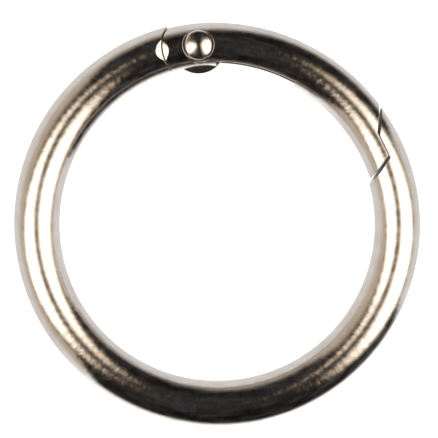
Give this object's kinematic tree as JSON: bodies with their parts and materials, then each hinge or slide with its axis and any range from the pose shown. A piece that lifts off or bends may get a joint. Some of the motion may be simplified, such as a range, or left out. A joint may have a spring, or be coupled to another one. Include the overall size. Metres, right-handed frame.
{
  "type": "openable o-ring",
  "caption": "Round metal ring with a sprung hinged gate that opens inwards, for clipping onto straps, loops and other rings.",
  "frame": {"origin": "centre of the closed ring, on the middle plane of its bar", "axes": "the ring lies flat in XY; +Z along the hinge pin, out of the ring's front face; +Y towards the hinge; +X towards the side where the gate's tongue meets the nose"},
  "size_m": [0.0412, 0.041, 0.0048],
  "materials": {
    "nickel_plate": "polished nickel plate on a zinc alloy casting",
    "spring_steel": "bright drawn spring wire"
  },
  "bodies": {
    "ring": {"ring_body": "nickel_plate", "gate_spring": "spring_steel"},
    "gate": {"gate": "nickel_plate", "hinge_rivet": "nickel_plate"}
  },
  "joints": [
    {"name": "gate_hinge", "type": "hinge", "parent": "ring", "child": "gate", "pos_m": [-0.00189, 0.018, 0], "axis": [0, 0, -1], "range_deg": [0, 60], "stiffness_Nm_per_rad": 0.013, "springref_deg": -57.3, "deforming": ["gate_spring"]}
  ]
}
